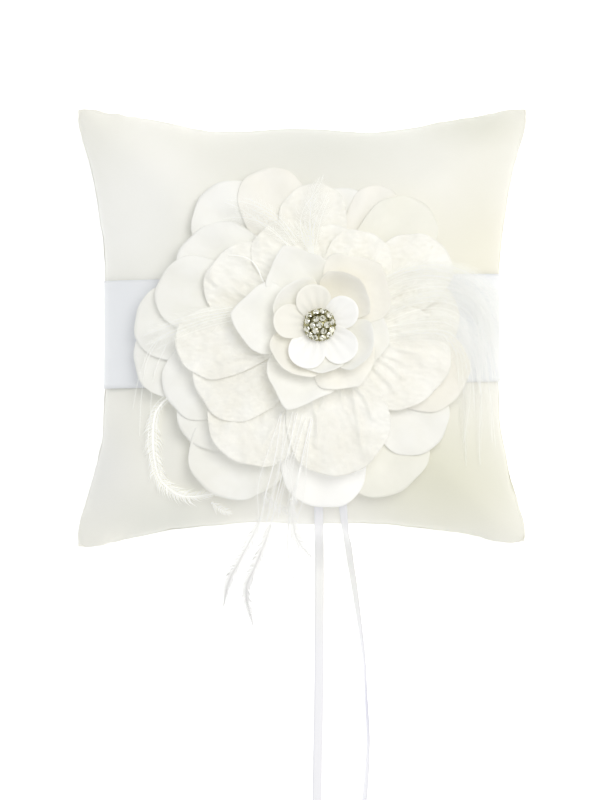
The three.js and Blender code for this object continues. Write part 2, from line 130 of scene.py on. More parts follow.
def catmull_rom(points, count):
    """Evenly spaced points on a centripetal Catmull-Rom curve through the given ones."""
    p = np.array(points, float)
    p = np.vstack([2 * p[0] - p[1], p, 2 * p[-1] - p[-2]])
    knots = np.concatenate([[0], np.cumsum(np.linalg.norm(np.diff(p, axis=0), axis=1) ** 0.5)])
    line = []
    for i in range(1, len(p) - 2):
        t0, t1, t2, t3 = knots[i - 1:i + 3]
        t = np.linspace(t1, t2, 24, endpoint=False)[:, None]
        first = between(t, t0, t1, p[i - 1], p[i])
        second = between(t, t1, t2, p[i], p[i + 1])
        third = between(t, t2, t3, p[i + 1], p[i + 2])
        line.append(between(t, t1, t2, between(t, t0, t2, first, second),
                            between(t, t1, t3, second, third)))
    return resample(np.vstack(line + [p[-2][None]]), count)


def resample(line, count):
    run = np.concatenate([[0], np.cumsum(np.linalg.norm(np.diff(line, axis=0), axis=1))])
    at = np.linspace(0, run[-1], count)
    return np.stack([np.interp(at, run, line[:, k]) for k in range(3)], axis=-1)


def length_of(line):
    return float(np.linalg.norm(np.diff(line, axis=0), axis=1).sum())


def unit(v):
    return v / np.maximum(np.linalg.norm(v, axis=-1, keepdims=True), 1e-9)


def clamp(x):
    return np.clip(x, 0, 1)


def round_angles(count):
    return np.linspace(0, 2 * math.pi, count, endpoint=False)


def sine_ticks(cells):
    """From -1 to 1, closer together towards the ends."""
    return np.sin(np.linspace(-0.5, 0.5, cells + 1) * math.pi)


def join(parts):
    """Several (points, faces) as one, with the faces renumbered."""
    points, faces, count = [], [], 0
    for p, f in parts:
        points.append(p)
        faces += [[int(k) + count for k in face] for face in f]
        count += len(p)
    return np.concatenate(points), faces


# ---- Materials ---------------------------------------------------------------------------------

class Nodes:
    """A Principled material and short ways to wire its texture nodes."""

    def __init__(self, name, **sockets):
        self.material = bpy.data.materials.new(name)
        self.material.use_nodes = True
        self.tree = self.material.node_tree
        self.shader = self.tree.nodes["Principled BSDF"]
        self.feed(self.shader, sockets)
        self.coords = self.tree.nodes.new("ShaderNodeTexCoord").outputs["Object"]

    def link(self, a, b):
        self.tree.links.new(a, b)

    def feed(self, node, sockets):
        """Sets each named input to a value, or links it to another node's output."""
        for socket, value in sockets.items():
            entry = node.inputs[socket.replace("_", " ")]
            if isinstance(value, bpy.types.NodeSocket):
                self.link(value, entry)
            else:
                entry.default_value = value

    def node(self, kind, output, settings=(), **sockets):
        node = self.tree.nodes.new("ShaderNode" + kind)
        for setting, value in dict(settings).items():
            setattr(node, setting, value)
        self.feed(node, sockets)
        return node.outputs[output]

    def noise(self, scale, detail=3.0, stretch=(1, 1, 1), turn=(0, 0, 0)):
        at = self.node("Mapping", "Vector", Scale=stretch, Rotation=turn, Vector=self.coords)
        return self.node("TexNoise", "Fac", Scale=scale, Detail=detail, Vector=at)

    def wave(self, scale, direction):
        return self.node("TexWave", "Fac", {"bands_direction": direction},
                         Scale=scale, Distortion=0.4, Vector=self.coords)

    def ramp(self, source, low, high, start=0.3, end=0.7):
        node = self.tree.nodes.new("ShaderNodeValToRGB")
        stops = node.color_ramp.elements
        stops[0].position, stops[1].position = start, end
        stops[0].color, stops[1].color = (*low, 1), (*high, 1)
        self.link(source, node.inputs["Fac"])
        return node.outputs["Color"]

    def spread(self, source, low, high):
        return self.node("MapRange", "Result", To_Min=low, To_Max=high, Value=source)

    def mix(self, factor, a, b):
        """The first output times a factor, plus the second."""
        node = self.tree.nodes.new("ShaderNodeMath")
        node.operation = "MULTIPLY_ADD"
        self.link(a, node.inputs[0])
        node.inputs[1].default_value = factor
        self.link(b, node.inputs[2])
        return node.outputs["Value"]

    def painted_light_spots(self, colour, spots):
        """The colour with soft oval spots of painted light and shade: place, half sizes (mm) and what each
        multiplies by.
        """
        for x, y, half_x, half_y, tone in spots:
            at = self.node("Mapping", "Vector", Location=(-x / half_x, -y / half_y, 0),
                           Scale=(1 / (half_x * MM), 1 / (half_y * MM), 0), Vector=self.coords)
            away = self.node("VectorMath", "Value", {"operation": "LENGTH"}, Vector=at)
            fade = self.node("MapRange", "Result", {"interpolation_type": "SMOOTHSTEP"},
                             To_Min=1, To_Max=0, Value=away)
            colour = self.node("Mix", "Result", {"data_type": "RGBA", "blend_type": "MULTIPLY"},
                               Factor=fade, A=colour, B=(*tone, 1))
        return colour

    def colour(self, output):
        self.link(output, self.shader.inputs["Base Color"])

    def roughness(self, output):
        self.link(output, self.shader.inputs["Roughness"])

    def bump(self, height, strength, distance):
        bumped = self.node("Bump", "Normal", Strength=strength, Distance=distance, Height=height)
        self.link(bumped, self.shader.inputs["Normal"])


def satin(name, low, high, rough=0.4, weave=2600, strength=0.12, glow=0.0, painted_light=()):
    """Satin: long floats one way, a faint weft the other way and a soft sheen, with optional spots of painted
    light and shade and an optional faint painted glow.
    """
    n = Nodes(name, Sheen_Weight=0.12, Sheen_Roughness=0.4, Anisotropic=0.35, Specular_IOR_Level=0.4,
              Emission_Color=(0.75, 0.78, 1, 1), Emission_Strength=glow)
    slub_tone = n.mix(0.35, n.noise(520, 3, (1, 9, 1)), n.noise(18))
    n.colour(n.painted_light_spots(n.ramp(slub_tone, low, high, 0.45, 0.9), painted_light))
    n.roughness(n.spread(n.noise(60), rough - 0.05, rough + 0.06))
    threads = n.mix(0.4, n.wave(weave, "Y"), n.wave(weave * 1.7, "X"))
    slubs = n.mix(0.5, n.noise(900, 2, (1, 6, 1)), threads)
    n.bump(slubs, strength, 0.00012)
    return n.material


def petal_cloth(name, low, high, glow=0.08, heart=()):
    """Stiffened silk-like satin, mottled, with painted shade towards the flower's heart and a faint painted
    glow.
    """
    n = Nodes(name, Sheen_Weight=0.15, Sheen_Roughness=0.5, Specular_IOR_Level=0.25,
              Emission_Color=(1, 0.99, 0.95, 1), Emission_Strength=glow)
    mottle = n.mix(0.45, n.noise(130, 2), n.noise(38, 2))
    n.colour(n.painted_light_spots(n.ramp(mottle, low, high, 0.5, 0.95), heart))
    n.roughness(n.spread(n.noise(120), 0.5, 0.66))
    n.bump(n.mix(0.5, n.noise(1500, 3), n.wave(2300, "DIAGONAL")), 0.1, 0.00012)
    return n.material


def organza_cloth(name, low, high, alpha):
    """Sheer organza with an open weave and a crinkled face."""
    # Its faint emission is a painted glow that lightens the organza's shade.
    n = Nodes(name, Sheen_Weight=0.3, Sheen_Roughness=0.35, Specular_IOR_Level=0.3, Alpha=alpha,
              Emission_Color=(1, 0.985, 0.93, 1), Emission_Strength=0.085)
    n.colour(n.ramp(n.mix(0.5, n.noise(230, 4), n.noise(60, 2)), low, high, 0.55, 0.95))
    n.roughness(n.spread(n.noise(300), 0.38, 0.6))
    crinkle = n.mix(0.9, n.noise(420, 5, (1, 2.2, 1), (0, 0, 0.7)), n.noise(1300, 3))
    n.bump(crinkle, 0.28, 0.0005)
    return n.material


def fibre(name, low, high, rough=0.85, glow=0.0, nap=0.0, shade=()):
    """Feather, felt and filling: matt and finely fibrous; on the feathers a painted glow in their own colour
    lightens their shade, and spots of painted shade can grey them.
    """
    n = Nodes(name, Sheen_Weight=0.3, Sheen_Roughness=0.6, Specular_IOR_Level=0.2, Emission_Strength=glow)
    colour = n.painted_light_spots(n.ramp(n.noise(500, 4), low, high), shade)
    n.colour(colour)
    n.link(colour, n.shader.inputs["Emission Color"])
    n.roughness(n.spread(n.noise(800), rough - 0.08, rough + 0.06))
    if nap:
        n.bump(n.noise(2400, 4, (1, 3, 1)), nap, 0.0002)
    return n.material


def plated_metal(name):
    n = Nodes(name, Metallic=1.0)
    n.colour(n.ramp(n.noise(700, 4), (0.16, 0.15, 0.055), (0.55, 0.52, 0.30)))
    n.roughness(n.spread(n.noise(900, 3), 0.18, 0.36))
    n.bump(n.noise(3000, 3), 0.15, 0.0001)
    return n.material


def rhinestone_glass(name):
    """Clear cut glass over a foil back with a faint champagne tint; its dark and bright blotches of colour
    are painted reflections on the facets.
    """
    n = Nodes(name, Metallic=0.65, Coat_Weight=0.8, Coat_Roughness=0.02, IOR=1.6)
    n.colour(n.ramp(n.noise(1150, 1.5), (0.17, 0.165, 0.06), (0.98, 0.975, 0.86), 0.36, 0.5))
    n.roughness(n.spread(n.noise(700), 0.03, 0.1))
    return n.material


# Painted light and shade on the front: brighter spots where the satin is lit, darker and warmer ones where it
# falls into shade; place, half sizes (mm) and what the colour is multiplied by
SATIN_PAINTED_LIGHT = [
    (-72, 50, 46, 60, (1.06, 1.065, 1.10)), (8, 84, 74, 36, (0.885, 0.895, 0.885)),
    (66, -68, 58, 46, (0.87, 0.872, 0.79)), (-3, -84, 36, 28, (1.09, 1.09, 1.12)),
    (-62, -86, 36, 22, (0.88, 0.895, 0.89)), (76, 93, 34, 18, (0.88, 0.885, 0.85)),
    (-92, -62, 22, 34, (0.93, 0.935, 0.96)), (84, 30, 40, 46, (0.98, 0.965, 0.91)),
]
# Painted shade: greyer where the flues hang past the lower edge
DOWN_SHADE = [(-18, -120, 80, 40, (0.56, 0.56, 0.57))]
# Painted light and shade on the tails: warmer where the ribbon tails leave the pillow, cooler and darker
# where the right one leans on its edge
TAIL_PAINTED_LIGHT = [(18, -112, 30, 44, (0.965, 0.965, 0.90)), (29, -170, 8, 24, (0.82, 0.82, 0.88))]
# Painted shade: darker and warmer in the flower's heart and on the upper right cup petal
HEART_PAINTED_SHADE = [(*FLOWER, 27, 27, (0.955, 0.945, 0.905)), (17, 19, 17, 10, (0.945, 0.93, 0.88))]

MATERIALS = {
    "satin": satin("ivory_satin", (0.885, 0.878, 0.80), (0.925, 0.917, 0.855), 0.5, painted_light=SATIN_PAINTED_LIGHT),
    "band": satin("cool_white_satin", (0.86, 0.875, 0.895), (0.885, 0.90, 0.915), 0.42, 3200),
    # The tail's faint cool emission is a painted glow.
    "tail": satin("ribbon_satin", (0.90, 0.90, 0.93), (0.92, 0.92, 0.95), 0.42, 4200, glow=0.03,
                  painted_light=TAIL_PAINTED_LIGHT),
    # The petal cloths emit faintly as painted glow; the white copy is a brighter lit copy with more of it
    # (painted light), the ivory copy a darker shaded copy (painted shade), and the cream copy is partly a
    # creamier cloth, partly painted shade.
    "petal": petal_cloth("petal_satin", (0.83, 0.825, 0.765), (0.885, 0.884, 0.85), heart=HEART_PAINTED_SHADE),
    "petal_cream_and_shade": petal_cloth("petal_satin_cream_and_shade", (0.825, 0.806, 0.73), (0.88, 0.867, 0.81), heart=HEART_PAINTED_SHADE),
    "petal_white": petal_cloth("petal_satin_painted_light", (0.90, 0.897, 0.87), (0.93, 0.93, 0.915), 0.13),
    "petal_painted_shade": petal_cloth("petal_satin_painted_shade", (0.81, 0.803, 0.715), (0.865, 0.858, 0.78)),
    "corolla_painted_shade": petal_cloth("corolla_satin_painted_shade", (0.86, 0.845, 0.77), (0.90, 0.888, 0.82)),
    "organza": organza_cloth("organza", (0.885, 0.872, 0.805), (0.94, 0.935, 0.89), 0.88),
    "feather": fibre("ostrich_flue", (0.93, 0.935, 0.895), (0.955, 0.96, 0.925), glow=0.21),
    "curl": fibre("ostrich_curl", (0.93, 0.93, 0.9), (0.96, 0.96, 0.93), glow=0.3),
    "down": fibre("ostrich_down", (0.93, 0.93, 0.91), (0.96, 0.96, 0.94), glow=0.15, shade=DOWN_SHADE),
    "felt": fibre("felt", (0.84, 0.83, 0.77), (0.88, 0.87, 0.82), nap=0.3),
    "filling": fibre("fibre_fill", (0.88, 0.88, 0.88), (0.93, 0.93, 0.93), nap=0.3),
    "metal": plated_metal("antique_gold_plate"),
    "glass": rhinestone_glass("cut_glass"),
}


# ---- The pillow's shape ------------------------------------------------------------------------

def drawn_in(pull, along):
    return 1 - pull * np.maximum(0, 1 - along ** 2) ** PULL_SHAPE


def sewn_in(pull, along):
    """The sewn outline: nearly straight sides that flare into the pointed corners."""
    return 1 - pull * np.maximum(0, 1 - np.abs(along) ** 3.4) ** 2


def swell(u, v):
    return (np.maximum(0, 1 - u * u) * np.maximum(0, 1 - v * v)) ** ROUNDNESS


# Where a seam bulges (+) or dips (-): side, place along it, spread and amount
SEAM_WAVES = [
    ("top", -4, 15, 1.6), ("top", -40, 7, -0.7), ("top", 30, 8, -0.8), ("top", -66, 12, 1.2),
    ("top", 64, 12, 0.9), ("bottom", -20, 12, -0.9), ("bottom", 30, 14, -0.5),
    ("bottom", 74, 10, -1.0), ("left", 52, 12, 0.6), ("left", -50, 9, -0.7), ("right", -40, 10, -0.6),
    ("right", 48, 14, 0.8),
]
LOW_CORNER = (-0.9, 2.4)  # the lower right corner is drawn in further than the others


def seam_shift(x, y, u, v):
    """Small moves of the outline in plan, which fade towards the middle."""
    dx, dy = 0 * x, 0 * y
    for side, place, spread, amount in SEAM_WAVES:
        along, near = (x, v) if side in ("top", "bottom") else (y, u)
        sign = 1 if side in ("top", "right") else -1
        weight = np.maximum(0, near * sign) ** 5
        bump = sign * amount * np.exp(-((along - place) / spread) ** 2) * weight
        if side in ("top", "bottom"):
            dy = dy + bump
        else:
            dx = dx + bump
    corner = (clamp(u) * clamp(-v)) ** 5
    return dx + LOW_CORNER[0] * corner, dy + LOW_CORNER[1] * corner


def skin(u, v, inset, rise):
    x = (WIDTH / 2 - inset) * u * sewn_in(PULL_X, v)
    y = (DEPTH / 2 - inset) * v * sewn_in(PULL_Y, u)
    dx, dy = seam_shift(x, y, u, v)
    return np.stack([x + dx, y + dy, SEAM_Z + rise * swell(u, v)], axis=-1)


def puckers(points, uv):
    """Gathers that run in from each seam, at right angles to it."""
    u, v = uv
    total = 0 * u
    for number, (near, half, along) in enumerate([
            (1 - u, WIDTH, points[:, 1]), (1 + u, WIDTH, points[:, 1]),
            (1 - v, DEPTH, points[:, 0]), (1 + v, DEPTH, points[:, 0])]):
        distance = near * half / 2
        place = np.stack([along, 0 * along + 40 * number, 0 * along], axis=-1)
        fold = fine_noise(place, 8, 4) + 0.6 * fine_noise(place, 3.6, 5)
        deep = fine_noise(place * [0.5, 1, 1], 9, 6)
        total += fold * np.exp(-distance / 4.5) + 1.1 * deep * np.exp(-distance / 11)
    corner = (np.abs(u) * np.abs(v)) ** 6
    return total * (1 - 0.6 * corner)


def front_height(x, y):
    x, y = np.asarray(x, float), np.asarray(y, float)
    u, v = x / (WIDTH / 2), y / (DEPTH / 2)
    for _ in range(8):  # closes in on the share of each side
        u = np.clip(x / (WIDTH / 2 * drawn_in(PULL_X, v)), -1, 1)
        v = np.clip(y / (DEPTH / 2 * drawn_in(PULL_Y, u)), -1, 1)
    return SEAM_Z + CROWN * swell(u, v)


def level_height(level, ring, x, y):
    """The upper face of a level of petals, as in the CAD."""
    r = np.hypot(x - FLOWER[0], y - FLOWER[1])
    z = front_height(x, y) + FIRST_LEVEL + level * PITCH + PETAL
    for at, by, power in LIFTS[:ring + 1]:
        z = z + by * (r / at) ** power
    return z


def cover_start():
    """The cover before it is stuffed: two panels that share the seam's points."""
    u, v = np.meshgrid(*[sine_ticks(COVER_CELLS)] * 2)
    front = skin(u, v, 0, CROWN).reshape(-1, 3)
    back = skin(u, v, 0, -BELLY).reshape(-1, 3)
    rim = set(border_of(COVER_CELLS, COVER_CELLS).tolist())
    inner = np.array([k for k in range(len(front)) if k not in rim])
    number = np.arange(len(front))
    number[inner] = len(front) + np.arange(len(inner))
    back_faces = number[grid_faces(COVER_CELLS, COVER_CELLS)][:, ::-1]
    points = np.concatenate([front, back[inner]])
    points[:, 2] = np.maximum(points[:, 2], 0)
    uv = np.stack([u.ravel(), v.ravel()])
    uv = np.concatenate([uv, uv[:, inner]], axis=1)
    return points, grid_faces(COVER_CELLS, COVER_CELLS), back_faces, sorted(rim), uv


def stuff(piece, seam):
    """Cloth under pressure: the panels have more cloth than the seam, so they pucker along it."""
    group = piece.vertex_groups.new(name="seam")
    group.add(seam, 1.0, "REPLACE")
    cloth = piece.modifiers.new("stuffing", "CLOTH")
    settings = cloth.settings
    settings.quality = 6
    settings.mass = 0.15
    settings.tension_stiffness = settings.compression_stiffness = 18
    settings.shear_stiffness = 6
    settings.bending_stiffness = 0.25
    settings.shrink_min = -0.03
    settings.use_pressure = True
    settings.uniform_pressure_force = 4
    settings.vertex_group_mass = "seam"
    settings.effector_weights.gravity = 0
    cloth.collision_settings.use_collision = False
    scene = bpy.context.scene
    for step in range(1, CLOTH_STEPS + 1):
        scene.frame_set(step)
    shaped = piece.evaluated_get(bpy.context.evaluated_depsgraph_get())
    moved = np.array([v.co for v in shaped.data.vertices]) / MM
    piece.modifiers.remove(cloth)
    scene.frame_set(1)
    return moved


def evened(push, uv):
    """The same movement with its sharp creases eased, except close to the seam."""
    side = COVER_CELLS + 1
    rim = border_of(COVER_CELLS, COVER_CELLS)
    inner = np.setdiff1d(np.arange(side * side), rim)
    front = push[:side * side]
    back = front.copy()
    back[inner] = push[side * side:]
    near = np.minimum(1 - np.abs(uv[0][:side * side]), 1 - np.abs(uv[1][:side * side]))
    ease = clamp(near * 100 / EASED_FROM).reshape(side, side, 1)
    sides = []
    for panel in (front, back):
        field = panel.reshape(side, side, 3)
        for _ in range(EASE_ROUNDS):
            padded = np.pad(field, ((1, 1), (1, 1), (0, 0)), mode="edge")
            mean = (padded[:-2, 1:-1] + padded[2:, 1:-1] + padded[1:-1, :-2] + padded[1:-1, 2:]) / 4
            field = field + 0.8 * ease * (mean - field)
        sides.append(field.reshape(-1, 3))
    return np.concatenate([sides[0], sides[1][inner]])


def pillow_cover():
    points, front, back, seam, uv = cover_start()
    piece = mesh_object("pillow_cover", points, np.concatenate([front, back]), "satin", slot="satin")
    out = np.array([v.normal for v in piece.data.vertices])
    push = stuff(piece, seam) - points
    lift = (push * out).sum(axis=1, keepdims=True)
    slide = push - lift * out
    far = np.linalg.norm(slide, axis=1, keepdims=True)
    slide *= np.minimum(1, MOST_SLIDE / np.maximum(far, 1e-6))
    push = evened(np.clip(lift, LEAST_LIFT, MOST_LIFT) * out + slide, uv)
    r = np.hypot(points[:, 0] - FLOWER[0], points[:, 1] - FLOWER[1])
    under_flower = (r < FLOWER_REACH) & (points[:, 2] > SEAM_Z)
    settled = 0.2 + 0.8 * clamp((r - SETTLED_FROM) / SETTLED_OVER)
    keep = np.where(under_flower, settled, 1)
    points = points + push * keep[:, None]
    gather = puckers(points, uv)
    points[:, 2] += np.where(points[:, 2] < SEAM_Z, -0.7, 0.9) * gather
    points[:, :2] *= 1 + 0.004 * gather[:, None]
    points[:, 2] = np.maximum(points[:, 2], 0)
    piece.data.vertices.foreach_set("co", (points * MM).ravel())
    piece.data.update()
    smooth = piece.modifiers.new("fine", "SUBSURF")
    smooth.levels = smooth.render_levels = 1
    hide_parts("front_panel", "back_panel")
    return points, front


def fibre_fill():
    cells = 40
    u, v = np.meshgrid(*[sine_ticks(cells)] * 2)
    front = skin(u, v, FILL_INSET, CROWN - FILL_UNDER)
    back = skin(u, v, FILL_INSET, FILL_UNDER - BELLY)
    for side in (front, back):
        flat = side.reshape(-1, 3)
        lumps = fine_noise(flat, LUMP_SIZE, 2) * LUMP_RISE * clamp(swell(u, v).ravel())
        side[..., 2] += lumps.reshape(u.shape)
    back[..., 2] = np.maximum(back[..., 2], 2)
    front[..., 2] += 0.5
    back[..., 2] -= 0.5
    points, faces = plate(front, back, cells, cells)
    piece = mesh_object("stuffing", points, faces, "filling", slot="filling")
    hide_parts("fibre_fill")


def ribbon_band(surface):
    """The band lies on the stuffed cover, from side seam to side seam."""
    columns, rows = 150, 22
    u, w = np.meshgrid(sine_ticks(columns), np.linspace(-0.5, 0.5, rows + 1))
    tilt = BAND_TILT * u
    y = BAND_Y + w * BAND_WIDTH + tilt
    v = y / (DEPTH / 2 * sewn_in(PULL_Y, u))
    x = (WIDTH / 2 + 0.3) * u * sewn_in(PULL_X, v)
    x = x + seam_shift(x, y, u, v)[0]
    rest = SEAM_Z + CROWN * swell(u, v)
    z = np.maximum(rest, surface(x, y)) + BAND_OVER
    gather = 0.35 * np.exp(-((1 - np.abs(u)) / 0.10) ** 2) * np.sin(w * 34 + u * 3)
    upper = np.dstack([x, y, z + gather])
    points, faces = plate(upper, upper - [0, 0, BAND_THICK], columns, rows)
    piece = mesh_object("satin_band", points, faces, "band", slot="band")
    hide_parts("ribbon_band")


def surface_of(points, faces):
    """Height of the stuffed front over a point of the plan, read from a millimetre grid."""
    tree = BVHTree.FromPolygons(points.tolist(), faces.tolist())
    half, step = 104, 1.0
    ticks = np.arange(-half, half + 1, step)
    grid = np.zeros((len(ticks), len(ticks)))
    for row, y in enumerate(ticks):
        for column, x in enumerate(ticks):
            hit = tree.ray_cast(Vector((x, y, 200)), Vector((0, 0, -1)))[0]
            if hit:
                grid[row, column] = hit.z

    def height(x, y):
        a = np.clip((np.asarray(x, float) + half) / step, 0, len(ticks) - 1.001)
        b = np.clip((np.asarray(y, float) + half) / step, 0, len(ticks) - 1.001)
        i, j = a.astype(int), b.astype(int)
        p, q = a - i, b - j
        low = grid[j, i] * (1 - p) + grid[j, i + 1] * p
        high = grid[j + 1, i] * (1 - p) + grid[j + 1, i + 1] * p
        return low * (1 - q) + high * q
    return height


def felt_base():
    a, s = np.meshgrid(round_angles(96), np.linspace(FELT_HOLE, 1, 14))
    r = s * FELT_RADIUS
    x, y = FLOWER[0] + r * np.cos(a), FLOWER[1] + r * np.sin(a)
    z = front_height(x, y) + FELT_RISE
    points, faces = rings_plate(np.dstack([x, y, z + FELT_THICK]), np.dstack([x, y, z]))
    piece = mesh_object("felt_disc", points, faces, "felt", slot="felt")
    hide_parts("felt_base")


def rings_plate(upper, lower):
    """A closed ring-shaped plate between two grids whose columns go round."""
    rows, columns = upper.shape[:2]
    at = np.arange(rows * columns).reshape(rows, columns)
    on = np.roll(at, -1, axis=1)
    under = rows * columns
    top = np.stack([at[:-1], at[1:], on[1:], on[:-1]], axis=-1).reshape(-1, 4)
    rim = np.stack([at[-1], at[-1] + under, on[-1] + under, on[-1]], axis=-1)
    hole = np.stack([at[0], on[0], on[0] + under, at[0] + under], axis=-1)
    points = np.concatenate([upper.reshape(-1, 3), lower.reshape(-1, 3)])
    return points, np.concatenate([top, top[:, ::-1] + under, rim, hole])


# ---- Petals ------------------------------------------------------------------------------------

OUTER_PETALS = [
    (130, 78, 36, 0), (111, 74, 30, 1), (93, 63, 30, 2), (78, 62, 34, 0), (64, 68, 22, 1),
    (49, 71, 32, 2), (30, 65, 34, 3), (5, 62, 36, 0), (-22, 70, 38, 2), (-45, 74, 34, 1),
    (-64, 82, 44, 0), (-88, 81, 38, 1), (-123, 88, 44, 0), (-140, 77, 34, 1), (-155, 75, 34, 2),
    (-168, 84, 36, 0), (179, 82, 34, 1), (166, 74, 34, 3), (149, 70, 40, 2),
]
MIDDLE_PETALS = [
    (151, 55, 38, 4), (115, 50, 30, 5), (82, 45, 30, 4), (58, 47, 30, 5), (-22, 60, 46, 4),
    (-80, 67, 46, 5), (-124, 71, 42, 4), (-149, 62, 42, 5), (-171, 64, 32, 6),
]
INNER_PETALS = [
    (115, 36, 30, 8, 2), (45, 37, 36, 9, 1), (-14, 32, 28, 8, 0), (-57, 32, 30, 9, 0),
    (-111, 36, 32, 8, 4), (173, 37, 32, 9, 3),
]
CUP_PETALS = [
    (50, 26.5, 26, 10), (134, 23, 24, 11), (-130, 25, 26, 10), (-88, 21, 24, 12), (-30, 26, 24, 11),
]
# Satin petals drawn in other copies of the petal cloth: the white copy is a lit copy (painted light), the
# ivory copy a shaded copy (painted shade), and the cream copy is partly a creamier cloth and partly painted
# shade
CLOTH_TONES_AND_PAINTED_LIGHT = {
    "petal_cream_and_shade": {"outer_petal_02", "outer_petal_05", "outer_petal_09",
                    "inner_petal_02", "inner_petal_04", "cup_petal_01", "cup_petal_03"},
    "petal_painted_shade": {"outer_petal_06", "outer_petal_11"},
    "petal_white": {"outer_petal_12"},
}
# Outer petals that are organza, not satin
SHEER = {"outer_petal_03", "outer_petal_07", "outer_petal_08"}


def disc_grid(cells):
    """A square grid bent into the unit disc: distance from the middle and angle of each point."""
    a, b = np.meshgrid(*[np.linspace(-1, 1, cells + 1)] * 2)
    x, y = a * np.sqrt(1 - b * b / 2), b * np.sqrt(1 - a * a / 2)
    return np.hypot(x, y), np.arctan2(y, x)


def round_flower(angle, along, across):
    """Plan of points that lie along and across a direction from the flower's middle."""
    turn = math.radians(angle)
    return (FLOWER[0] + along * math.cos(turn) - across * math.sin(turn),
            FLOWER[1] + along * math.sin(turn) + across * math.cos(turn))


def petal(name, shape, ring, start, look):
    angle, reach, width, level, *rest = shape
    point = rest[0] if rest else 0
    rho, phi = disc_grid(look["cells"])
    seed = RNG.uniform(0, 50)
    blade = min(width * 0.5, (reach - start) * 0.45)
    widest = reach - blade
    c, s = np.cos(phi), np.sin(phi)
    uneven = np.sin(3 * phi + seed) + 0.6 * np.sin(5 * phi + 2 * seed) + 0.4 * np.sin(9 * phi + 3 * seed)
    wobble = 1 + look["wobble"] * uneven * clamp((c + 0.5) * 2)
    length = np.where(c > 0, blade, widest - start)
    claw = np.where(c > 0, 1, 1 - 0.35 * c * c)
    arch = np.where(c > 0, (1 - look["arch"]) * c + look["arch"] * (1 - np.abs(s)), c)
    along = widest + length * arch * np.where(c > 0, wobble, 1) + point * np.maximum(0, c) ** 8
    across = width / 2 * claw * s * wobble
    middle = (start + widest) / 2
    along = middle + rho * (along - middle)
    across = rho * across
    x, y = round_flower(angle, along, across)
    z = level_height(level, ring, x, y) - PETAL_SUNK
    tip = clamp((along - start) / (reach - start))
    side = across / (width / 2)
    z += look["curl"] * rho ** 5 * np.maximum(0, c) ** 0.7 * (0.7 + 0.5 * math.sin(seed))
    z += look["dish"] * (side ** 2 - 0.3) * tip + look["stand"] * tip ** 2
    z -= look["lip"] * clamp((rho - 0.86) / 0.14) ** 2 * clamp(c + 0.6)
    z += look["ruffle"] * rho ** 3 * np.sin(look["waves"] * phi + seed) * clamp(c + 0.5)
    z += look["pleat"] * np.sin(side * 7 + seed) * (1 - tip) * tip * 3
    if look["crinkle"]:
        flat = np.stack([x, y, 0 * x], axis=-1).reshape(-1, 3)
        folds = fine_noise(flat, 5.5, seed) + 0.7 * fine_noise(flat * [1, 1.8, 1], 2.6, seed + 3)
        z += look["crinkle"] * folds.reshape(x.shape) * clamp(tip * 3)
    for _ in range(look["ridges"]):
        lane, bow, ends = RNG.uniform(-0.6, 0.6), RNG.uniform(-0.5, 0.5), RNG.uniform(0.5, 0.9)
        off = (side - lane - bow * (tip - 0.5) ** 2 * 3) * width / 2
        z += RIDGE_RISE * np.exp(-(off / RIDGE_WIDTH) ** 2) * clamp((ends - tip) * 6) * clamp(tip * 5)
    for fold in FOLDS.get(name, []):
        path = catmull_rom([(*at, 0) for at in fold], 40)
        off = np.hypot(x[..., None] - path[:, 0], y[..., None] - path[:, 1])
        z += FOLD_RISE * np.exp(-(off.min(axis=-1) / FOLD_WIDTH) ** 2)
    upper = np.dstack([x, y, z])
    points, faces = plate(upper, upper - [0, 0, look["thick"]], look["cells"], look["cells"])
    material = next((tone for tone in CLOTH_TONES_AND_PAINTED_LIGHT if name in CLOTH_TONES_AND_PAINTED_LIGHT[tone]), look["cloth"])
    slot = "organza" if look["cloth"] == "organza" else "petal_satin"
    piece = mesh_object(f"{name}_cloth", points, faces, material, slot=slot)
    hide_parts(name)


# Folds that stand up from a petal, as routes in plan
FOLDS = {
    "middle_petal_01": [[(-38, 33.5), (-39, 29), (-40.4, 24), (-40, 21), (-38, 18.8)],
                        [(-46, 34), (-47.5, 26), (-47, 17), (-44, 10)]],
    "middle_petal_05": [[(34, -14), (39, -17), (44, -22)], [(32, -18), (38, -24), (41, -28)]],
    "middle_petal_06": [[(22, -24), (28, -32), (31, -40)], [(10, -30), (7, -40), (6, -52)]],
}
SATIN_LOOK = dict(cells=52, cloth="petal", wobble=0.022, arch=0.0, curl=1.5, dish=0.8, stand=0,
                  lip=0.3, ruffle=0.55, waves=5, pleat=0.5, crinkle=0.14, ridges=0, thick=0.2)
ORGANZA_LOOK = dict(cells=72, cloth="organza", wobble=0.026, arch=0.0, curl=0.7, dish=0.4, stand=0,
                    lip=0.1, ruffle=0.6, waves=7, pleat=0.45, crinkle=0.75, ridges=3, thick=0.16)
INNER_LOOK = {**SATIN_LOOK, "arch": 0.42, "curl": 1.4, "dish": 1.8, "stand": 1.2, "lip": 0.6}
CUP_LOOK = {**SATIN_LOOK, "arch": 0.2, "curl": 1.2, "dish": 1.6, "stand": 2.6, "waves": 3, "lip": 0.7}


def flower():
    rings = [
        ("outer", OUTER_PETALS, OUTER, 12, SATIN_LOOK),
        ("middle", MIDDLE_PETALS, MIDDLE, 10, ORGANZA_LOOK),
        ("inner", INNER_PETALS, INNER, 8, INNER_LOOK),
        ("cup", CUP_PETALS, CUP, 7, CUP_LOOK),
    ]
    for prefix, shapes, ring, start, look in rings:
        for number, shape in enumerate(shapes, 1):
            name = f"{prefix}_petal_{number:02d}"
            sheer = name in SHEER
            petal(name, shape, ring, start, ORGANZA_LOOK if sheer else look)


# ---- Corolla -----------------------------------------------------------------------------------

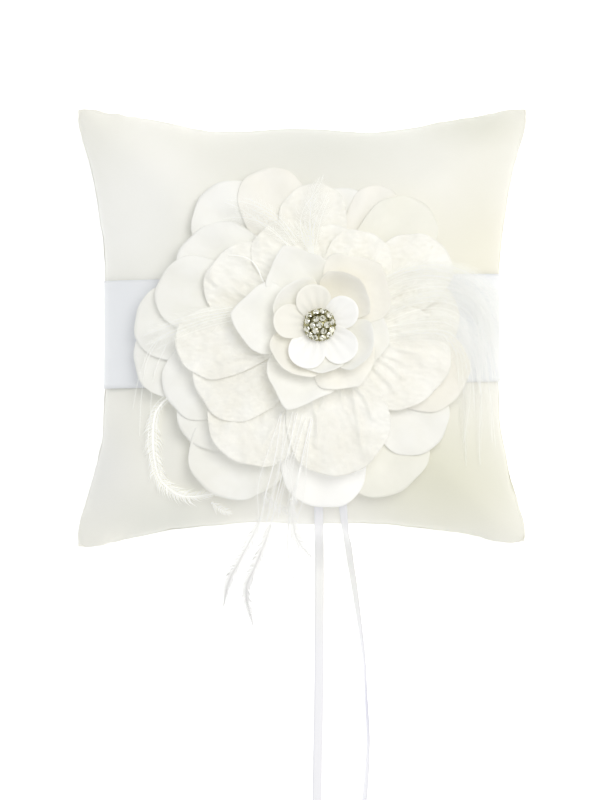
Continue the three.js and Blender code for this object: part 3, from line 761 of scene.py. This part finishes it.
# Angle, reach, width and tilt of each lobe
LOBES = [(104, 18.2, 15.6, 0.5), (173, 20.4, 15.0, 0.2), (-116, 20.4, 16.6, 0.6),
         (-46, 20.6, 15.8, 0.0), (29, 18.4, 14.6, 0.3)]
# Painted shade: a 1 puts that part in the corolla's darker cream copy, a 0 in its lighter copy with more
# painted glow (painted light).
PAINTED_SHADE_PARTS = [1, 1, 0, 0, 0, 0]  # the first two lobes; the last number is the stitched core's
CORE_INNER, CORE_OUTER = 1.7, 6.4


def stitched_core():
    """The gathered cloth round the brooch's post, from the felt up to the back of the brooch."""
    a, r = np.meshgrid(round_angles(32), [CORE_INNER, 3.4, 5.2, CORE_OUTER])
    flat = np.dstack([FLOWER[0] + r * np.cos(a), FLOWER[1] + r * np.sin(a)])
    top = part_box("brooch_setting")[1][2] / MM - BROOCH_HEIGHT - 0.15
    foot = front_height(*FLOWER) + FELT_RISE + FELT_THICK + 0.2
    upper = np.dstack([flat, top - 0.5 * ((r - CORE_INNER) / (CORE_OUTER - CORE_INNER)) ** 2])
    return rings_plate(upper, np.dstack([flat, np.full_like(r, foot)]))


def corolla():
    """Five overlapping, faintly ribbed lobes that cup round the brooch."""
    parts, cells = [], 44
    rho, phi = disc_grid(cells)
    for number, (angle, reach, width, raised) in enumerate(LOBES):
        c, s = np.cos(phi), np.sin(phi)
        start, widest = 1.5, reach - width * 0.47
        length = np.where(c > 0, reach - widest, widest - start)
        claw = np.where(c > 0, 1, 1 - 0.4 * c * c)
        uneven = 1 + 0.02 * np.sin(3 * phi + number * 2) * (c > 0)
        middle = (start + widest) / 2
        along = middle + rho * (widest + length * c * uneven - middle)
        across = rho * width / 2 * claw * s
        x, y = round_flower(angle, along, across)
        side = across / (width / 2)
        z = level_height(COROLLA_LEVEL, CUP, x, y) + raised * along / 20
        z += 2.4 * (along / 20) ** 2 + 1.5 * side ** 2 * clamp(along / 14) + 0.7 * side
        ribs = np.sin(np.arctan2(across, along) * 19 + number) * clamp((along - 4) / 6)
        z += 0.27 * ribs * (1 - rho ** 4)
        z -= 0.4 * clamp((rho - 0.88) / 0.12) ** 2 * clamp(c + 0.5)
        upper = np.dstack([x, y, z])
        parts.append(plate(upper, upper - [0, 0, 0.2], cells, cells))
    parts.append(stitched_core())
    # Bright lobes and core take the lighter copy as painted light; the shaded lobes take the cream copy as
    # painted shade.
    piece = mesh_object("corolla_cloth", *join(parts), "petal_white", slot="petal_satin")
    piece.data.materials.append(MATERIALS["corolla_painted_shade"])
    tone = np.repeat(PAINTED_SHADE_PARTS, [len(faces) for _, faces in parts])
    piece.data.polygons.foreach_set("material_index", tone)
    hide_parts("corolla")


# ---- Brooch ------------------------------------------------------------------------------------

STONE_RINGS = [(0, 1), (19, 6), (37.5, 12)]  # tilt from the middle in degrees, and count
RIM_BEADS, RIM_RADIUS = 24, 6.9
DOME_RADIUS = 9.0
STONE_RADIUS = 1.5
STONE_SIDES = 8


def lathe(profile, sides):
    """Points and faces of a profile turned about Z; it starts and ends on the axis."""
    points = [(0, 0, profile[0][1])]
    turn = round_angles(sides)
    for r, z in profile[1:-1]:
        points += [(r * math.cos(a), r * math.sin(a), z) for a in turn]
    points.append((0, 0, profile[-1][1]))
    faces = []
    last = len(points) - 1
    for k in range(sides):
        on = (k + 1) % sides
        faces.append((0, 1 + on, 1 + k))
        for ring in range(len(profile) - 3):
            a, b = 1 + ring * sides + k, 1 + ring * sides + on
            faces.append((a, b, b + sides, a + sides))
        faces.append((last - sides + k, last - sides + on, last))
    return np.array(points), faces


def brilliant():
    """A round brilliant with its table up, its girdle on z = 0."""
    n = STONE_SIDES

    def ring(r, z, shift):
        a = (np.arange(n) + shift) * 2 * math.pi / n
        return np.stack([r * np.cos(a), r * np.sin(a), np.full(n, z)], axis=-1)
    table, stars = ring(0.8, 0.62, 0), ring(1.12, 0.42, 0.5)
    girdle, lower = ring(STONE_RADIUS, 0.1, 0), ring(STONE_RADIUS, 0, 0)
    points = np.concatenate([table, stars, girdle, lower, [[0, 0, -0.5]]])
    faces = [list(range(n))]
    for t0 in range(n):
        t1 = (t0 + 1) % n
        s0, g0, g1 = n + t0, 2 * n + t0, 2 * n + t1
        faces += [(t0, s0, t1), (t1, s0, g1), (s0, g0, g1), (t1, g1, n + t1)]
        faces += [(g0, g0 + n, g1 + n, g1), (g0 + n, 4 * n, g1 + n)]
    return points, faces


def bead(radius):
    return lathe([(0, -radius), (radius * 0.71, -radius * 0.71), (radius, 0),
                  (radius * 0.71, radius * 0.71), (0, radius)], 8)


def facing(out):
    """The turn that takes Z to a direction."""
    return Vector((0, 0, 1)).rotation_difference(Vector(out)).to_matrix()


def placed(part, out, middle, spin=0.0):
    points, faces = part
    turn = facing(out) @ Matrix.Rotation(spin, 3, "Z")
    return points @ np.array(turn).T + middle, faces


def brooch():
    low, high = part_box("brooch_setting")
    seat = high[2] / MM - BROOCH_HEIGHT
    top = np.array([*FLOWER, high[2] / MM - DOME_RADIUS])
    foot = low[2] / MM
    profile = [(0, foot), (1.5, foot), (1.5, seat), (6.2, seat), (6.8, seat + 0.5), (7.0, seat + 1.2),
               (7.0, seat + 1.7), (6.8, seat + 2.1)]
    for r in np.linspace(6.4, 0, 7):
        profile.append((float(r), float(top[2] + math.sqrt(DOME_RADIUS ** 2 - r * r))))
    body = lathe(profile, 48)
    metal = [(body[0] + np.array([*FLOWER, 0]), body[1])]
    stones = []
    for tilt, count in STONE_RINGS:
        for k in range(count):
            lean = math.radians(tilt + (RNG.normal(0, 1.3) if tilt else 0))
            turn = k / count * 2 * math.pi + (0.26 if count == 12 else 0) + RNG.normal(0, 0.05)
            out = np.array([math.sin(lean) * math.cos(turn), math.sin(lean) * math.sin(turn), math.cos(lean)])
            middle = top + out * (DOME_RADIUS + 0.55 + RNG.uniform(-0.15, 0.35))
            stones.append(placed(brilliant(), out, middle, RNG.uniform(0, 1)))
            for prong in range(4):
                a = math.radians(45 + 90 * prong) + turn
                arm = np.array(facing(out)) @ np.array([math.cos(a), math.sin(a), 0])
                metal.append(placed(bead(0.3), out, middle + arm * (STONE_RADIUS + 0.05) + out * 0.16))
    for k in range(RIM_BEADS):
        a = k / RIM_BEADS * 2 * math.pi
        rim = np.array([FLOWER[0] + RIM_RADIUS * math.cos(a), FLOWER[1] + RIM_RADIUS * math.sin(a),
                        seat + 1.7])
        metal.append(placed(bead(RNG.uniform(0.3, 0.5)), (0, 0, 1), rim))
    setting = mesh_object("setting_metal", *join(metal), "metal", slot="setting")
    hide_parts("brooch_setting")
    cut = mesh_object("cut_stones", *join(stones), "glass", smooth=False, slot="rhinestone")
    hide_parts("brooch_rhinestones")


# ---- Feathers ----------------------------------------------------------------------------------

# Width and route of each plume on the flower; heights are over the front
FRONT_PLUMES = {
    "plume_right_1": (9, [(36, 6, 14.2), (50, 12, 15.8), (64, 13, 17), (76, 6, 14.5), (80, -18, 12),
                          (82, -44, 6), (84, -68, 3)]),
    "plume_right_2": (7, [(38, -3, 14.2), (52, -1, 16), (64, -2, 17.5), (72, -10, 16), (76, -30, 11),
                          (77, -52, 6)]),
    "plume_right_3": (5, [(34, 18, 14.4), (48, 24, 16.2), (66, 24, 18), (82, 14, 16), (90, -10, 14),
                          (93, -34, 12)]),
    "plume_top_1": (6, [(3, 36, 15), (5, 48, 16.6), (9, 60, 18), (13, 71, 17)]),
    "plume_top_2": (5, [(-3, 36, 15), (-12, 46, 17.5), (-24, 52, 19), (-38, 54, 18)]),
    "plume_left": (6, [(-30, 6, 15), (-44, 3, 17.2), (-58, -2, 19), (-70, -8, 18), (-77, -13, 15)]),
}
LOWER_CURL = [(-46, -31, 1.5), (-57, -30, 1.6), (-64.5, -37, 1.7), (-66, -48, 1.8), (-65.5, -58, 2),
              (-63, -67, 2.2), (-57, -73, 2.2), (-50, -75, 2.2), (-41.6, -74, 2.2), (-35, -73.6, 2.2)]
# Routes past the lower edge; heights are from the floor
EDGE_PLUMES = {
    "plume_edge_1": [(-9, -38, 75.6), (-12, -58, 74), (-16, -73, 64), (-19, -86, 50),
                     (-27, -102, 38), (-33, -114, 28), (-35, -124, 20)],
    "plume_edge_2": [(-2, -38, 75.8), (-7, -58, 74), (-11, -74, 62.5), (-14, -88, 48),
                     (-20, -104, 34), (-25, -117, 25), (-22, -133, 14)],
    "plume_edge_3": [(4, -40, 75.4), (0, -58, 74), (-3, -74, 62.5), (-6, -88, 47),
                     (-6, -102, 36), (-3, -114, 28)],
}
# Short flues beside the plumes, with heights over the front
LOWER_SPRIG = [(-40, -77.5, 1.8), (-36.5, -80.5, 2), (-31.5, -82.5, 2.2)]
EDGE_SPRIG = [(-18, -71, 2), (-15, -76.5, 2), (-9.5, -80.5, 2), (-4, -82, 2)]
BARE_QUILL = [(-16, 18, 15), (-18, 22, 16), (-20.2, 26.8, 16.5), (-23.3, 29.9, 16.8), (-27.3, 31.2, 16.6),
              (-32.6, 31.7, 16)]
LEFT_WISPS = [
    [(-62, -4, 14), (-68, -14, 13), (-71, -30, 6), (-72, -48, 3)],
    [(-60, -8, 13), (-65, -20, 10), (-67, -38, 4), (-66, -56, 2.4)],
    [(-58, -2, 15), (-66, -8, 14), (-72, -22, 8), (-75, -36, 3)],
]
# The same, with heights from the floor
STRAY = [(80, -4, 52), (85, -18, 44), (89, -30, 38), (94.5, -41, 32), (96.5, -47, 29)]
SIDE_TUFT = [(-1, -62, 73), (-4, -76, 62), (-4.2, -86, 52), (-2.5, -93, 46), (0.5, -98, 42), (4.5, -102, 39)]


def along_and_side(line):
    """Unit vectors along a line and level across it."""
    tangent = unit(np.gradient(line, axis=0))
    return tangent, unit(np.cross(tangent, UP) + 1e-6)


def tapered_tube(line, radius_from, radius_to, sides=4):
    """A closed thin tube along a line, thinner towards its end."""
    tangent, side = along_and_side(line)
    up = np.cross(side, tangent)
    radius = np.linspace(radius_from, radius_to, len(line))[:, None, None]
    a = np.arange(sides) / sides * 2 * math.pi
    ring = np.cos(a)[None, :, None] * side[:, None] + np.sin(a)[None, :, None] * up[:, None]
    points = (line[:, None] + radius * ring).reshape(-1, 3)
    at = np.arange(len(line) * sides).reshape(len(line), sides)
    on = np.roll(at, -1, axis=1)
    quads = np.stack([at[:-1], at[1:], on[1:], on[:-1]], axis=-1).reshape(-1, 4)
    return points, [list(q) for q in quads] + [list(at[0]), list(at[-1][::-1])]


def barbules(line, hair, over):
    """Fine hairs down both sides of a flue, each a closed three-sided sliver."""
    start = int(hair["bare"] * len(line))
    line = line[start:]
    count = max(5, int(length_of(line) / hair["spacing"]))
    root = resample(line, count)
    tangent, side = along_and_side(root)
    share = np.linspace(0, 1, count)
    reach = hair["length"] * clamp(np.minimum(share * 5 + 0.3, (1 - share) * 3 + 0.15))
    parts = []
    for way in (-1, 1):
        lean = RNG.uniform(0.45, 1.0, count)[:, None]
        rise = RNG.normal(0.1, 0.25, count)[:, None]
        out = unit(way * side + lean * tangent + rise * UP)
        long = (reach * RNG.uniform(0.6, 1.15, count))[:, None]
        mid = root + out * long * 0.55
        tip = root + out * long * 0.92 + tangent * 0.38 * long - np.array([0, 0, 0.14]) * long
        for p in (tip, mid):
            p[:, 2] = np.maximum(p[:, 2], over(p[:, 0], p[:, 1]) + 0.4)
        across = unit(np.cross(out, UP))
        rings = []
        for middle, size in ((root, hair["thick"]), (mid, hair["thick"] * 0.8)):
            for a in (0, 2.094, 4.189):
                ring = math.cos(a) * across + math.sin(a) * UP
                rings.append(middle + size * ring)
        points = np.stack(rings + [tip], axis=1)
        base = (np.arange(count) * 7)[:, None]
        quads = np.concatenate([base + q for q in ([0, 3, 4, 1], [1, 4, 5, 2], [2, 5, 3, 0])])
        tris = np.concatenate([base + t for t in ([0, 1, 2], [3, 6, 4], [4, 6, 5], [5, 6, 3])])
        parts.append((points.reshape(-1, 3), quads.tolist() + tris.tolist()))
    return parts


def flue(line, hair, over, quill=0.11):
    line = line.copy()
    line[:, 2] = np.maximum(line[:, 2], over(line[:, 0], line[:, 1]) + 0.5)
    return [tapered_tube(line, quill, max(0.05, quill * 0.45))] + barbules(line, hair, over)


def spray(route, width, strands, hair, over, quill=0.11):
    """Strands that leave the root together, spread out and wander, and end at their own lengths."""
    parts = []
    line = catmull_rom(route, 80)
    share = np.linspace(0, 1, 80)
    tangent = unit(np.gradient(line * np.array([1, 1, 0]), axis=0))
    side = np.stack([-tangent[:, 1], tangent[:, 0], 0 * tangent[:, 0]], axis=-1)
    for k in range(strands):
        lane = (k + 0.5) / strands - 0.5
        drift = lane * width * (0.6 + 0.4 * np.sin(share * math.pi / 1.6) ** 1.2)
        drift += RNG.normal(0, 0.09) * width * np.sin(share * RNG.uniform(3, 7) + RNG.uniform(0, 6))
        drift += RNG.normal(0, 0.2) * width * share ** 3
        strand = line + side * drift[:, None]
        strand[:, 2] += RNG.uniform(-0.3, 1.2) * share
        end = int(80 * RNG.uniform(0.6, 1.0))
        run = length_of(strand[:end])
        parts += flue(resample(strand[:end], max(14, int(run / 1.8))), hair, over, quill)
    return parts


# The hairs of a flue: the bare share of its length, and their spacing, length and radius
FINE = dict(bare=0.04, spacing=0.5, length=4.4, thick=0.04)
SPARSE = dict(bare=0.15, spacing=1.3, length=1.6, thick=0.045)
HERRINGBONE = dict(bare=0.2, spacing=0.95, length=5.8, thick=0.22)
FLUFF = dict(bare=0.5, spacing=1.05, length=3.6, thick=0.3)
QUILL = dict(bare=0.3, spacing=2.5, length=0.8, thick=0.04)


def feathers(surface):
    def over(x, y):
        return np.maximum(front_height(x, y), surface(x, y)) * (np.abs(x) < 99)

    def beyond(x, y):
        return surface(x, y) + 0.2

    def laid(route):
        return [(x, y, z + float(front_height(x, y))) for x, y, z in route]

    parts = {name: [] for name in (*FRONT_PLUMES, "plume_lower_left", *EDGE_PLUMES)}
    for name, (width, route) in FRONT_PLUMES.items():
        if "right" in name:
            parts[name] += spray(laid(route), width * 2.2, 7, FINE, over, 0.035)
            parts[name] += spray(laid(route), width * 2.0, 3, SPARSE, over, 0.06)
        else:
            parts[name] += spray(laid(route), width * 1.8, 5, FINE, over)
    curl = parts["plume_lower_left"]
    curl += flue(catmull_rom(laid(LOWER_CURL), 90), HERRINGBONE, over, 0.42)
    curl += spray(laid(LOWER_CURL), 5, 3, {**SPARSE, "length": 2.4}, over)
    curl += flue(catmull_rom(laid(LOWER_SPRIG), 16), {**HERRINGBONE, "length": 3.4, "bare": 0}, over)
    for x in (-7, -5, -3, -1, 1, 3, 5):
        fan = [(5, 29, 14.6), (3 + x * 0.4, 38, 15.6), (x, 47 - 0.08 * (x + 1) ** 2, 16.4)]
        parts["plume_top_1"] += flue(catmull_rom(laid(fan), 20), {**FINE, "length": 2.2}, over)
    for route in LEFT_WISPS:
        parts["plume_left"] += flue(catmull_rom(laid(route), 40), SPARSE, over)
    parts["plume_top_2"] += flue(catmull_rom(laid(BARE_QUILL), 40), QUILL, over, 0.3)
    parts["plume_right_3"] += flue(catmull_rom(STRAY, 30), SPARSE, over, 0.07)
    for name, route in EDGE_PLUMES.items():
        hair = QUILL if name == "plume_edge_3" else FLUFF
        quill = 0.3 if hair is QUILL else 0.2
        parts[name] += flue(catmull_rom(route, 70), hair, beyond, quill)
        parts[name] += spray(route[:5], 9, 3, {**SPARSE, "length": 2.2, "thick": 0.08}, beyond, 0.16)
    parts["plume_edge_3"] += flue(catmull_rom(SIDE_TUFT, 30), {**FLUFF, "bare": 0.2}, beyond, 0.2)
    sprig = {**HERRINGBONE, "length": 3.6, "bare": 0}
    parts["plume_edge_2"] += flue(catmull_rom(laid(EDGE_SPRIG), 20), sprig, over, 0.2)
    for name, pieces in parts.items():
        fibres = "down" if name in EDGE_PLUMES else "curl" if "lower" in name else "feather"
        piece = mesh_object(f"{name}_flues", *join(pieces), fibres, slot="feather")
        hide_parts(name)


# ---- Ribbon tails ------------------------------------------------------------------------------

TAIL_WIDTH, TAIL_THICK = 4.0, 0.28
TAILS = {
    "tail_left": [
        (6, -32, 62.4), (6.3, -42, 60.7), (6.7, -52, 58.4), (7, -61, 55.6), (7.2, -69, 52.3),
        (7.3, -76, 48.4), (7.4, -82, 43.9), (7.5, -87, 38.6), (7.5, -89.6, 31), (7.5, -91, 22),
        (7.6, -93.5, 13), (7.8, -98.5, 5), (7.9, -106, 1.2), (7.9, -115, 0.6), (7.8, -130, 0.6),
        (7.7, -150, 0.6), (7.5, -170, 0.6), (7.1, -190, 0.6), (6.7, -212, 0.6), (5.8, -236, 0.6),
        (3.8, -262, 0.6), (2, -284, 0.6), (0.2, -304.6, 0.6),
    ],
    "tail_right": [
        (12, -32, 62), (13.4, -42, 60.5), (14.8, -52, 58.3), (16, -61, 55.5), (17, -69, 52.2),
        (17.8, -76, 48.4), (18.4, -82, 43.9), (18.9, -87, 38.8), (19.2, -89.8, 31), (19.5, -91.4, 22),
        (20.1, -94, 13), (21, -99, 5), (22.1, -106.5, 1.2), (23.5, -115, 0.6), (25.6, -130, 0.6),
        (28, -149, 0.6), (29, -168, 0.6), (29.8, -186, 0.6), (28.4, -210, 0.6), (25, -234, 0.6),
        (21, -257, 0.6), (17.5, -281, 0.6), (14.5, -303, 0.6),
    ],
}
# The right tail leans on its edge for a while: distance along -Y and its turn there, in degrees
LEAN = [(70, 0), (84, -38), (104, -46), (121, -56), (131, -63), (144, -72), (158, -80), (172, -75),
        (190, -71), (211, -64), (240, -30), (262, 0)]


def ribbon_tail(name, route, surface):
    count, lanes, smoothed = 260, 6, 13
    line = catmull_rom(route, count)
    line[:, 2] = np.maximum(line[:, 2], surface(line[:, 0], line[:, 1]) + 0.6)
    turn = np.zeros(count)
    if name == "tail_right":
        turn = np.interp(-line[:, 1], *np.array(LEAN).T)
        padded = np.pad(turn, smoothed // 2, mode="edge")
        turn = np.radians(np.convolve(padded, np.full(smoothed, 1 / smoothed), mode="valid"))
    line[:, 2] += np.abs(np.sin(turn)) * TAIL_WIDTH / 2
    tangent = unit(np.gradient(line, axis=0))
    side = unit(np.cross(tangent, UP))
    steep = np.abs(tangent[:, 2]) > 0.9
    side[steep] = [-1, 0, 0]
    up = np.cross(side, tangent)
    across = np.cos(turn)[:, None] * side + np.sin(turn)[:, None] * up
    face = np.cos(turn)[:, None] * up - np.sin(turn)[:, None] * side
    lane = np.linspace(-0.5, 0.5, lanes + 1) * TAIL_WIDTH
    cupped = 0.1 * (1 - (2 * lane / TAIL_WIDTH) ** 2)
    body = line[:, None] + lane[None, :, None] * across[:, None] + cupped[None, :, None] * face[:, None]
    half = TAIL_THICK / 2 * face[:, None]
    points, faces = plate(body + half, body - half, lanes, count - 1)
    piece = mesh_object(f"{name}_ribbon", points, faces, "tail", slot="tail_satin")
    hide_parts(name)


# ---- Floor, lights and camera ------------------------------------------------------------------

def floor():
    mesh = bpy.data.meshes.new("floor")
    side = 3.0
    corners = [(-side, -side, 0), (side, -side, 0), (side, side, 0), (-side, side, 0)]
    mesh.from_pydata(corners, [], [(0, 1, 2, 3)])
    plane = bpy.data.objects.new("floor", mesh)
    bpy.context.collection.objects.link(plane)
    n = Nodes("pale_floor", Roughness=0.9, Specular_IOR_Level=0.1, Emission_Color=(1, 1, 1, 1),
              Emission_Strength=0.42)
    n.colour(n.ramp(n.noise(3), (0.93, 0.93, 0.93), (0.95, 0.95, 0.95)))
    mesh.materials.append(n.material)


def area_light(name, place, size, power, colour):
    light = bpy.data.lights.new(name, "AREA")
    light.shape = "DISK"
    light.size, light.energy, light.color = size, power, colour
    lamp = bpy.data.objects.new(name, light)
    lamp.location = place
    lamp.rotation_euler = Vector(place).to_track_quat("Z", "Y").to_euler()
    bpy.context.collection.objects.link(lamp)


CAMERA_HEIGHT = 3.2
VIEW_HEIGHT = 0.3571  # what the frame takes in from top to bottom, at the seam's height
VIEW_MIDDLE = (-0.0009, -0.0321)
SENSOR = 24


def studio():
    world = bpy.data.worlds.new("studio")
    bpy.context.scene.world = world
    world.use_nodes = True
    background = world.node_tree.nodes["Background"]
    background.inputs["Color"].default_value = (1, 1, 1, 1)
    background.inputs["Strength"].default_value = 0.6
    area_light("key", (0.4, 0.4, 1.5), 0.8, 9.5, (1.0, 0.99, 0.97))
    area_light("warm_side", (1.4, -0.5, 0.8), 0.8, 1.3, (1.0, 0.90, 0.66))
    area_light("cool_side", (-1.5, 0.0, 0.6), 0.8, 1.5, (0.76, 0.87, 1.0))
    area_light("low_card", (0.1, -1.4, 0.3), 1.0, 1.3, (1.0, 1.0, 1.0))
    camera = bpy.data.objects.new("camera", bpy.data.cameras.new("camera"))
    camera.location = (*VIEW_MIDDLE, CAMERA_HEIGHT)
    camera.data.sensor_fit = "VERTICAL"
    camera.data.sensor_height = SENSOR
    camera.data.lens = SENSOR * (CAMERA_HEIGHT - SEAM_Z * MM) / VIEW_HEIGHT
    camera.data.clip_end = 20
    bpy.context.collection.objects.link(camera)
    bpy.context.scene.camera = camera
    bpy.context.scene.view_settings.view_transform = "Standard"


cover_points, cover_front = pillow_cover()
cover_height = surface_of(cover_points, cover_front)
fibre_fill()
ribbon_band(cover_height)
felt_base()
flower()
corolla()
brooch()
feathers(cover_height)
for tail_name, tail_route in TAILS.items():
    ribbon_tail(tail_name, tail_route, cover_height)
floor()
studio()
